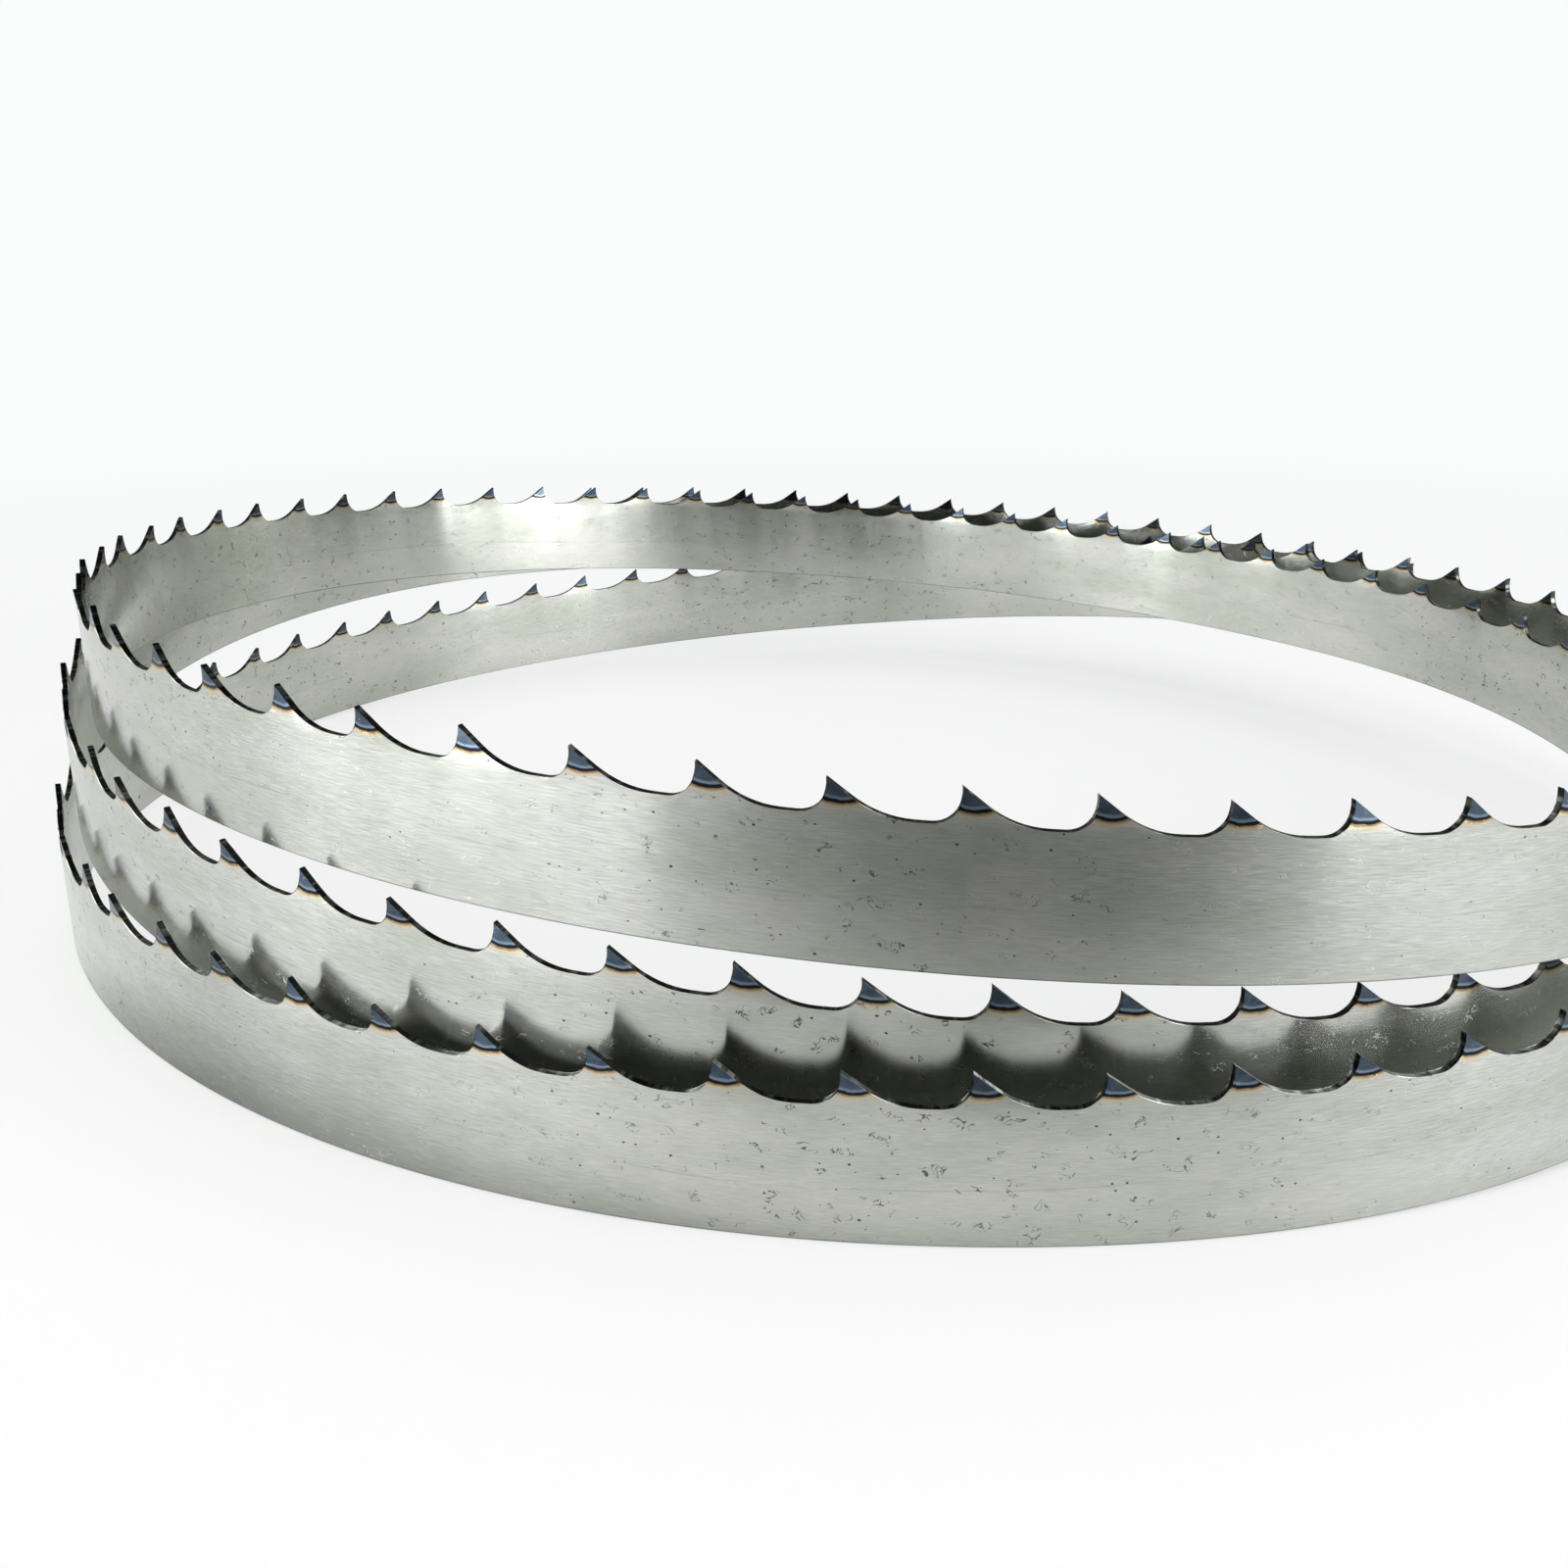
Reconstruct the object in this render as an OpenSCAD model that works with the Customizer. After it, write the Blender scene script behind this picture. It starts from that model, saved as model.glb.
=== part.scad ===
// A welded band saw blade, lying loosely coiled in three turns on its smooth edge, teeth up.
// Lengths are in millimetres. The part stands on Z = 0, centred in plan on its own box.

/* [Band] */
// width of the band, from the smooth edge to the tooth tips (3/4 inch)
band_width = 19.05; // [14:0.05:26]
// thickness of the steel band
band_thickness = 0.8; // [0.5:0.05:1.1]

/* [Teeth] */
// distance from one tooth tip to the next (two teeth to the inch)
tooth_pitch = 12.7; // [10:0.1:16]
// number of teeth round the closed band, which with the pitch gives its length
tooth_count = 187; // [150:1:190]
// depth of the gullet below the tooth tips
gullet_depth = 3.7; // [3:0.1:4.6]
// slope of the back of a tooth, measured from the line of the tips
back_angle = 36.5; // [32:0.5:42]
// forward lean of the cutting face of a tooth
rake_angle = 2; // [0:0.5:6]
// sideways set of each tooth tip, to one side and then the other
tooth_set = 0.3; // [0.1:0.05:0.5]

/* [Coil] */
// free space left between two turns that lie one layer apart
layer_gap = 1.6; // [1.2:0.1:2.5]

/* [Hidden] */

steel = [0.58, 0.58, 0.55];

// Three turns and two crossings let a flat untwisted band lie closed on itself.
turns = 3;
stations_per_turn = 8;
// The guide round the coil, one row a turn, from the front through the left, the back and the right.
// Each pair is the offset from the mean radius, in layers, and the height of the smooth edge, in widths.
upper_turn = [
    [-2.6, 1.44], [-1.4, 1.69], [1.3, 1.70], [4.2, 1.39],
    [-0.6, 0.95], [-7.3, 0.83], [-4.5, 0.77], [-0.8, 0.04]
];
middle_turn = [
    [-2.8, 0.36], [-0.1, 0.67], [2.6, 1.07], [4.8, 1.36],
    [2.6, 0.97], [0.7, 0.81], [-1.9, 0.61], [1.5, 0]
];
lower_turn = [
    [-1.1, 0], [0.6, 0], [3.9, 0], [4.6, 0],
    [1.2, 0.31], [-2.9, 0.93], [-2.7, 0.87], [0.3, 1.06]
];
guide = concat(upper_turn, middle_turn, lower_turn);
guide_count = turns * stations_per_turn;

band_length = tooth_count * tooth_pitch;
layer = band_thickness + 2 * tooth_set + layer_gap;

// The band runs along the guide as a periodic cubic curve, smooth in its bend like sprung steel.
function blend(t) = [pow(1 - t, 3), 3 * t * t * t - 6 * t * t + 4, 1 + 3 * t + 3 * t * t - 3 * t * t * t, t * t * t] / 6;
function guide_at(i) = guide[(i + guide_count) % guide_count];
function curve_at(u) =
    let (i = floor(u), b = blend(u - i))
    b[0] * guide_at(i - 1) + b[1] * guide_at(i) + b[2] * guide_at(i + 1) + b[3] * guide_at(i + 2);

// A point of the centreline at place u of the guide, for a given mean radius.
function path_at(u, mean_radius) =
    let (c = curve_at(u), turn_angle = 360 * u / stations_per_turn, radius = mean_radius + layer * c[0])
    [-radius * sin(turn_angle), -radius * cos(turn_angle), band_width * c[1]];

// Samples of the path, and the length run at each.
samples_per_station = 36;
sample_count = guide_count * samples_per_station;
function sampled(mean_radius) = [
    for (i = [0 : sample_count]) path_at(i % sample_count / samples_per_station, mean_radius)
];
function run_lengths(points) = [
    for (i = 0, run = 0; i <= sample_count; run = run + (i < sample_count ? norm(points[i + 1] - points[i]) : 0), i = i + 1) run
];
function path_length(mean_radius) = run_lengths(sampled(mean_radius))[sample_count];

// The mean radius at which the path is as long as the band.
function fitted_radius(guess, rounds) =
    rounds < 1 ? guess : fitted_radius(guess + (band_length - path_length(guess)) / (2 * PI * turns), rounds - 1);
fit_rounds = 4;
mean_radius = fitted_radius(band_length / (2 * PI * turns), fit_rounds);

path_points = sampled(mean_radius);
path_runs = run_lengths(path_points);
run_total = path_runs[sample_count];
place_table = [for (i = [0 : sample_count]) [path_runs[i] / run_total, i / samples_per_station]];

// The plan is centred on the box of the band, and half a band's thickness is added at each side.
function column(points, axis) = [for (p = points) p[axis]];
plan_centre = [
    (min(column(path_points, 0)) + max(column(path_points, 0))) / 2,
    (min(column(path_points, 1)) + max(column(path_points, 1))) / 2,
    0
];

// A point of the band: its place in teeth, distance outward from the centreline, height on the band.
// The first tip lies a part of a pitch past the front of the coil.
tangent_step = 0.02;
first_tip = 0.35;
function band_point(tooth, outward, height) =
    let (
        share = (tooth + first_tip) / tooth_count,
        u = lookup(share - floor(share), place_table),
        ahead = path_at(u + tangent_step, mean_radius) - path_at(u - tangent_step, mean_radius),
        side = [-ahead[1], ahead[0], 0] / norm([ahead[0], ahead[1]])
    )
    path_at(u, mean_radius) - plan_centre - outward * side + [0, 0, height];

// Tooth outline from one tip to just before the next: distance along the band, depth below the tips.
// The cutting face comes first, then the gullet, then the back of the next tooth.
back_steps = 3;
front_steps = 4;
// The front of the gullet is an arc that runs up into the leaning cutting face.
front_radius_share = 0.77;
front_radius = front_radius_share * gullet_depth;
front_centre = (front_radius - (gullet_depth - front_radius) * sin(rake_angle)) / cos(rake_angle);
front_arc = [
    for (i = [0 : front_steps])
        let (a = rake_angle - (90 + rake_angle) * i / front_steps)
        [front_centre - front_radius * cos(a), gullet_depth - front_radius * (1 + sin(a))]
];
// The back leaves the gullet's floor in a wide arc and ends in a straight slope.
floor_end_share = 0.35;
floor_end = floor_end_share * tooth_pitch;
back_length = tooth_pitch - floor_end;
back_radius = (back_length * tan(back_angle) - gullet_depth)
    / (sin(back_angle) * tan(back_angle) - 1 + cos(back_angle));
back_arc = [
    for (i = [0 : back_steps])
        let (a = back_angle * i / back_steps)
        [floor_end + back_radius * sin(a), gullet_depth - back_radius * (1 - cos(a))]
];
outline = concat([[0, 0]], front_arc, back_arc);
outline_count = len(outline);
// Points from here on belong to the back of the next tooth.
back_start = 1 + len(front_arc);

// Each tooth leans to its own side, by as much as it stands above the gullet's floor.
// The count is odd, so the two teeth at the weld lean the same way.
function lean(tooth) = tooth % tooth_count % 2 == 0 ? -1 : 1;
function set_shift(tooth, i) =
    tooth_set * (1 - outline[i][1] / gullet_depth) * lean(i < back_start ? tooth : tooth + 1);

// Rows of points on one side of the band: the smooth edge, a row under the gullets, and the teeth.
edge_columns = 2;
root_depth = 1.2 * gullet_depth;
root_offset = -0.08;
edge_row = [for (i = [0 : edge_columns - 1]) i / edge_columns];
root_row = [for (i = [0 : edge_columns - 1]) root_offset + i / edge_columns];

function side_points(tooth, outward) = concat(
    [for (x = edge_row) band_point(tooth + x, outward, 0)],
    [for (x = root_row) band_point(tooth + x, outward, band_width - root_depth)],
    [
        for (i = [0 : outline_count - 1])
            band_point(
                tooth + outline[i][0] / tooth_pitch,
                outward + set_shift(tooth, i),
                band_width - outline[i][1]
            )
    ]
);
side_count = 2 * edge_columns + outline_count;
tooth_points = 2 * side_count;

// The number of a point: side 0 is the inner one; row 0 the edge, row 1 the root line, row 2 the teeth.
row_start = [0, edge_columns, 2 * edge_columns];
row_size = [edge_columns, edge_columns, outline_count];
function point_number(tooth, side, row, i) =
    let (whole = tooth + floor(i / row_size[row]), rest = i % row_size[row])
    (whole % tooth_count) * tooth_points + side * side_count + row_start[row] + rest;

// Triangles that face outward on the outer side, and are turned over on the inner one.
function facing(side, triangle) = side == 1 ? triangle : [triangle[0], triangle[2], triangle[1]];
function strip(tooth, side) = [
    for (i = [0 : edge_columns - 1])
        let (
            a = point_number(tooth, side, 0, i),
            b = point_number(tooth, side, 0, i + 1),
            c = point_number(tooth, side, 1, i + 1),
            d = point_number(tooth, side, 1, i)
        )
        each [facing(side, [a, b, c]), facing(side, [a, c, d])]
];
// Fans join the root line to the outline: each root point serves one run of the outline.
fan_starts = [0, back_start - 1, outline_count - 3, outline_count];
function fan(tooth, side, f) =
    let (root = point_number(tooth, side, 1, f))
    concat(
        [
            for (i = [fan_starts[f] : fan_starts[f + 1] - 1])
                facing(side, [root, point_number(tooth, side, 2, i + 1), point_number(tooth, side, 2, i)])
        ],
        f == 2 ? [] : [
            facing(side, [root, point_number(tooth, side, 1, f + 1), point_number(tooth, side, 2, fan_starts[f + 1])])
        ]
    );
// The narrow faces that close the band along its smooth edge and along the teeth.
function rim(tooth, row) = [
    for (i = [0 : row_size[row] - 1])
        let (
            a = point_number(tooth, 0, row, i),
            b = point_number(tooth, 0, row, i + 1),
            c = point_number(tooth, 1, row, i + 1),
            d = point_number(tooth, 1, row, i)
        )
        each (row == 0 ? [[a, b, c], [a, c, d]] : [[a, c, b], [a, d, c]])
];

blade_points = [
    for (tooth = [0 : tooth_count - 1])
        each concat(side_points(tooth, -band_thickness / 2), side_points(tooth, band_thickness / 2))
];
blade_faces = [
    for (tooth = [0 : tooth_count - 1]) each concat(
        strip(tooth, 0), strip(tooth, 1),
        fan(tooth, 0, 0), fan(tooth, 0, 1), fan(tooth, 0, 2),
        fan(tooth, 1, 0), fan(tooth, 1, 1), fan(tooth, 1, 2),
        rim(tooth, 0), rim(tooth, 2)
    )
];

module blade() {
    color(steel) polyhedron(points = blade_points, faces = blade_faces, convexity = 12);
}

blade();
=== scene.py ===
import math

import bpy
from bpy.props import FloatProperty, FloatVectorProperty, IntProperty, PointerProperty
from mathutils import Matrix, Vector


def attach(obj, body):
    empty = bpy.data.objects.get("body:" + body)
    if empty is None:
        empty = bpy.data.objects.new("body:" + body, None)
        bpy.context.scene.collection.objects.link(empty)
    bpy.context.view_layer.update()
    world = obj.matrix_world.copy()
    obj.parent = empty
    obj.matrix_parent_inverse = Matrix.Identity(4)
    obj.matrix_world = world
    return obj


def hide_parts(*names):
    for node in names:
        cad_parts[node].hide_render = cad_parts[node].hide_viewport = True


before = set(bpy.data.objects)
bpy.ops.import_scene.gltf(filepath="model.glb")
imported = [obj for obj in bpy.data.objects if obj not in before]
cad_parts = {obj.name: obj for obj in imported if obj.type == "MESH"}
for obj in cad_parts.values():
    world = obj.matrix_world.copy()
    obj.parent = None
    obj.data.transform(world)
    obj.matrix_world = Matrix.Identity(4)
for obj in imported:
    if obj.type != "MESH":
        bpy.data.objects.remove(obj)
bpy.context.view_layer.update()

bl_info = {
    "name": "Band saw blade",
    "version": (1, 0, 0),
    "blender": (4, 5, 0),
    "location": "3D View > Sidebar > Saw blade",
    "description": "A welded steel band saw blade, coiled in three turns, with its studio stage",
    "category": "Object",
}

# The coil's guide, from the front through the left, the back and the right. Each pair is the offset
# from the mean radius, in layers, and the height of the smooth edge, in band widths.
TURNS = 3
STATIONS_PER_TURN = 8
UPPER_TURN = (
    (-2.6, 1.44), (-1.4, 1.69), (1.3, 1.70), (4.2, 1.39),
    (-0.6, 0.95), (-7.3, 0.83), (-4.5, 0.77), (-0.8, 0.04),
)
MIDDLE_TURN = (
    (-2.8, 0.36), (-0.1, 0.67), (2.6, 1.07), (4.8, 1.36),
    (2.6, 0.97), (0.7, 0.81), (-1.9, 0.61), (1.5, 0.0),
)
LOWER_TURN = (
    (-1.1, 0.0), (0.6, 0.0), (3.9, 0.0), (4.6, 0.0),
    (1.2, 0.31), (-2.9, 0.93), (-2.7, 0.87), (0.3, 1.06),
)
GUIDE = UPPER_TURN + MIDDLE_TURN + LOWER_TURN
SAMPLES_PER_STATION = 60
FIT_ROUNDS = 5


def linear(hex_colour):
    """An sRGB hex colour as linear red, green, blue and alpha."""
    parts = [int(hex_colour[i:i + 2], 16) / 255 for i in (1, 3, 5)]
    return tuple(v / 12.92 if v <= 0.04045 else ((v + 0.055) / 1.055) ** 2.4 for v in parts) + (1.0,)


def colour_property(name, description, hex_colour):
    """A colour that a user may change."""
    return FloatVectorProperty(
        name=name, description=description, subtype="COLOR", size=4, min=0, max=1, default=linear(hex_colour)
    )


def length_property(name, description, default):
    """A length in metres that a user may change."""
    return FloatProperty(
        name=name, description=description, unit="LENGTH", subtype="DISTANCE",
        default=default, min=0, precision=5,
    )


class BladeSizes(bpy.types.PropertyGroup):
    """Sizes of the blade."""

    band_width: length_property("Band width", "From the smooth edge to the tooth tips", 0.01905)
    band_thickness: length_property("Band thickness", "Thickness of the steel band", 0.0008)
    tooth_pitch: length_property("Tooth pitch", "From one tooth tip to the next", 0.0127)
    tooth_count: IntProperty(name="Teeth", description="Teeth round the closed band", default=187, min=3)
    gullet_depth: length_property("Gullet depth", "Depth of the gullet below the tips", 0.0037)
    back_angle: FloatProperty(
        name="Back angle", description="Slope of a tooth's back", subtype="ANGLE", default=math.radians(36.5)
    )
    rake_angle: FloatProperty(
        name="Rake angle", description="Forward lean of a tooth's face", subtype="ANGLE",
        default=math.radians(2),
    )
    tooth_set: length_property("Tooth set", "Sideways set of each tooth tip", 0.0003)
    layer_gap: length_property("Layer gap", "Free space between turns one layer apart", 0.0016)
    edge_chamfer: length_property("Edge break", "Width of the broken edges", 0.00007)


class BladeColours(bpy.types.PropertyGroup):
    """Colours of the blade."""

    steel: colour_property("Steel", "Ground carbon steel", "#CECFCA")
    steel_shade: colour_property("Steel shade", "Duller, greener patches of the steel", "#C2C6BD")
    tip_blue: colour_property("Tip blue", "Slate-blue oxide on a hardened tip", "#3C4856")
    tip_light: colour_property("Tip crescent", "Paler line inside the border of the tip", "#7F919E")
    tip_border: colour_property("Tip border", "Navy border of the hardened tip", "#1C2432")
    straw: colour_property("Straw", "Straw temper colour, farthest from the tip", "#CDBB92")
    amber: colour_property("Amber", "Amber brown temper colour, next to the border", "#80623A")
    # This colour also paints the shade line along the smooth edge
    pit_and_edge_shade: colour_property("Pit", "Dark pits and burr flecks", "#2A2B28")
    cut_edge: colour_property("Cut edge", "Milled edge of teeth and gullets", "#7E7E78")


class StageLook(bpy.types.PropertyGroup):
    """Floor, backdrop and light."""

    floor: colour_property("Floor", "Plain white floor", "#E9E9E8")
    backdrop: colour_property("Backdrop", "Plain white surroundings", "#FBFCFC")
    lamp_level: FloatProperty(name="Lamp level", description="Level of the soft lamps together", default=1.0)


def node(tree, kind, settings=None, inputs=None):
    """A new node with its settings and its inputs, each a value or a socket to link."""
    new = tree.nodes.new(kind)
    for name, value in (settings or {}).items():
        setattr(new, name, value)
    for key, value in (inputs or {}).items():
        socket = new.inputs[key]
        if isinstance(value, bpy.types.NodeSocket):
            tree.links.new(value, socket)
        else:
            socket.default_value = value
    return new


def place_all(tree):
    """Lay the nodes out in columns."""
    for i, item in enumerate(tree.nodes):
        item.location = (220 * (i // 6), -260 * (i % 6))


# The path of the band

def guide_curve(u):
    """Offset and height of the guide at place u, as a periodic cubic curve."""
    i = math.floor(u)
    t = u - i
    weights = ((1 - t) ** 3, 3 * t ** 3 - 6 * t * t + 4, 1 + 3 * t + 3 * t * t - 3 * t ** 3, t ** 3)
    around = [GUIDE[(i + k) % len(GUIDE)] for k in (-1, 0, 1, 2)]
    return [sum(w * point[axis] for w, point in zip(weights, around)) / 6 for axis in (0, 1)]


def path_points(sizes, mean_radius):
    """The centreline of the band's smooth edge, in metres, for a mean radius."""
    layer = sizes.band_thickness + 2 * sizes.tooth_set + sizes.layer_gap
    points = []
    for n in range(len(GUIDE) * SAMPLES_PER_STATION):
        u = n / SAMPLES_PER_STATION
        offset, height = guide_curve(u)
        angle = 2 * math.pi * u / STATIONS_PER_TURN
        radius = mean_radius + layer * offset
        x, y = -radius * math.sin(angle), -radius * math.cos(angle)
        points.append(Vector((x, y, sizes.band_width * height)))
    return points


def closed_length(points):
    """Length of a closed row of points."""
    return sum((points[n] - points[n - 1]).length for n in range(len(points)))


def fitted_path(sizes):
    """The path whose length is the band's, centred in plan on its own box."""
    wanted = sizes.tooth_count * sizes.tooth_pitch
    mean_radius = wanted / (2 * math.pi * TURNS)
    for _ in range(FIT_ROUNDS):
        mean_radius += (wanted - closed_length(path_points(sizes, mean_radius))) / (2 * math.pi * TURNS)
    points = path_points(sizes, mean_radius)
    centre = Vector([(min(p[k] for p in points) + max(p[k] for p in points)) / 2 for k in (0, 1)] + [0])
    return [p - centre for p in points]


def path_object(sizes):
    """The path as a closed curve for the bending nodes."""
    points = fitted_path(sizes)
    curve = bpy.data.curves.new("band_path", "CURVE")
    curve.dimensions = "3D"
    spline = curve.splines.new("POLY")
    spline.points.add(len(points) - 1)
    for item, p in zip(spline.points, points):
        item.co = (*p, 1)
    spline.use_cyclic_u = True
    holder = bpy.data.objects.new("band_path", curve)
    bpy.context.scene.collection.objects.link(holder)
    return holder


# One tooth, laid out flat: x along the band, y outward, z up

# Steps along the straight back, its curve into the gullet, the front arc and the cutting face
BACK_STEPS = 4
CURVE_STEPS = 8
FRONT_STEPS = 9
FACE_STEPS = 3
# The gullet's floor starts at this share of the pitch, and its front radius is a share of its depth
FLOOR_START_SHARE = 0.65
FRONT_RADIUS_SHARE = 0.77
# The row of points under the gullets: its depth in gullet depths, and its shift in pitches
ROOT_DEPTH_SHARE = 1.2
ROOT_OFFSET_SHARE = -0.08
# How much of the cut edge's look the broken edge along the smooth side takes
SMOOTH_EDGE_CUT = 0.7
# Points round the band's cross-section
RING_SIZE = 12
# The first tip's place past the front of the coil, in pitches
FIRST_TIP = 0.35
# Points closer than this are joined, in metres, and edges sharper than this angle stay crisp
WELD_DISTANCE = 1e-6
CRISP_ANGLE = math.radians(25)


def tooth_outline(sizes):
    """Outline from one tip to the next, face first: along, depth, and whether it is the next tooth's."""
    pitch, depth = sizes.tooth_pitch, sizes.gullet_depth
    back, rake = sizes.back_angle, sizes.rake_angle
    floor_start = FLOOR_START_SHARE * pitch
    arc_factor = math.sin(back) * math.tan(back) - 1 + math.cos(back)
    curve_radius = (floor_start * math.tan(back) - depth) / arc_factor
    front_radius = FRONT_RADIUS_SHARE * depth
    front_x = pitch - (front_radius - (depth - front_radius) * math.sin(rake)) / math.cos(rake)
    straight = floor_start - curve_radius * math.sin(back)
    back_xs = [straight * i / BACK_STEPS for i in range(BACK_STEPS)]
    points = [(x, x * math.tan(back), 0) for x in back_xs]
    for i in range(CURVE_STEPS + 1):
        a = back * (1 - i / CURVE_STEPS)
        points.append((floor_start - curve_radius * math.sin(a), depth - curve_radius * (1 - math.cos(a)), 0))
    for i in range(FRONT_STEPS + 1):
        a = -math.pi / 2 + (math.pi / 2 + rake) * i / FRONT_STEPS
        points.append((front_x + front_radius * math.cos(a), depth - front_radius * (1 + math.sin(a)), 1))
    face_foot = points[-1]
    for i in range(1, FACE_STEPS + 1):
        share = i / FACE_STEPS
        points.append((face_foot[0] + (pitch - face_foot[0]) * share, face_foot[1] * (1 - share), 1))
    return [(pitch - x, down, 1 - next_tooth) for x, down, next_tooth in reversed(points)]


def flat_tooth(sizes):
    """One pitch of band as a mesh, with its bend, owner and cut edge kept as attributes."""
    outline = tooth_outline(sizes)
    half, chamfer, width = sizes.band_thickness / 2, sizes.edge_chamfer, sizes.band_width
    root_z = width - ROOT_DEPTH_SHARE * sizes.gullet_depth
    floor_z = width - sizes.gullet_depth
    points, bends, owners, edges, faces = [], [], [], [], []
    for j, (x, depth, owner) in enumerate(outline):
        share = j / (len(outline) - 1)
        top = Vector((x, 0, width - depth))
        root = Vector(((share + ROOT_OFFSET_SHARE) * sizes.tooth_pitch, 0, root_z))
        base = Vector((share * sizes.tooth_pitch, 0, 0))
        low = top + (root - top).normalized() * min(chamfer, (root - top).length / 3)
        middle = (top + root) / 2
        outer = [
            (base, half - chamfer, SMOOTH_EDGE_CUT), (base + Vector((0, 0, chamfer)), half, 0),
            (root, half, 0), (middle, half, 0), (low, half, 0), (top, half - chamfer, 1),
        ]
        ring = outer + [(p, -y, edge) for p, y, edge in reversed(outer)]
        for p, y, edge in ring:
            points.append((p.x, y, p.z))
            bends.append(max(0.0, (p.z - floor_z) / sizes.gullet_depth))
            owners.append(owner)
            edges.append(edge)
    for j in range(len(outline) - 1):
        for k in range(RING_SIZE):
            a, b = j * RING_SIZE + k, j * RING_SIZE + (k + 1) % RING_SIZE
            faces.append((a, b, b + RING_SIZE, a + RING_SIZE))
    mesh = bpy.data.meshes.new("flat_tooth")
    mesh.from_pydata(points, [], faces)
    for name, values in (("bend", bends), ("owner", owners), ("cut_edge", edges)):
        layer = mesh.attributes.new(name, "FLOAT", "POINT")
        layer.data.foreach_set("value", [float(v) for v in values])
    mesh.update()
    return mesh


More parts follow.
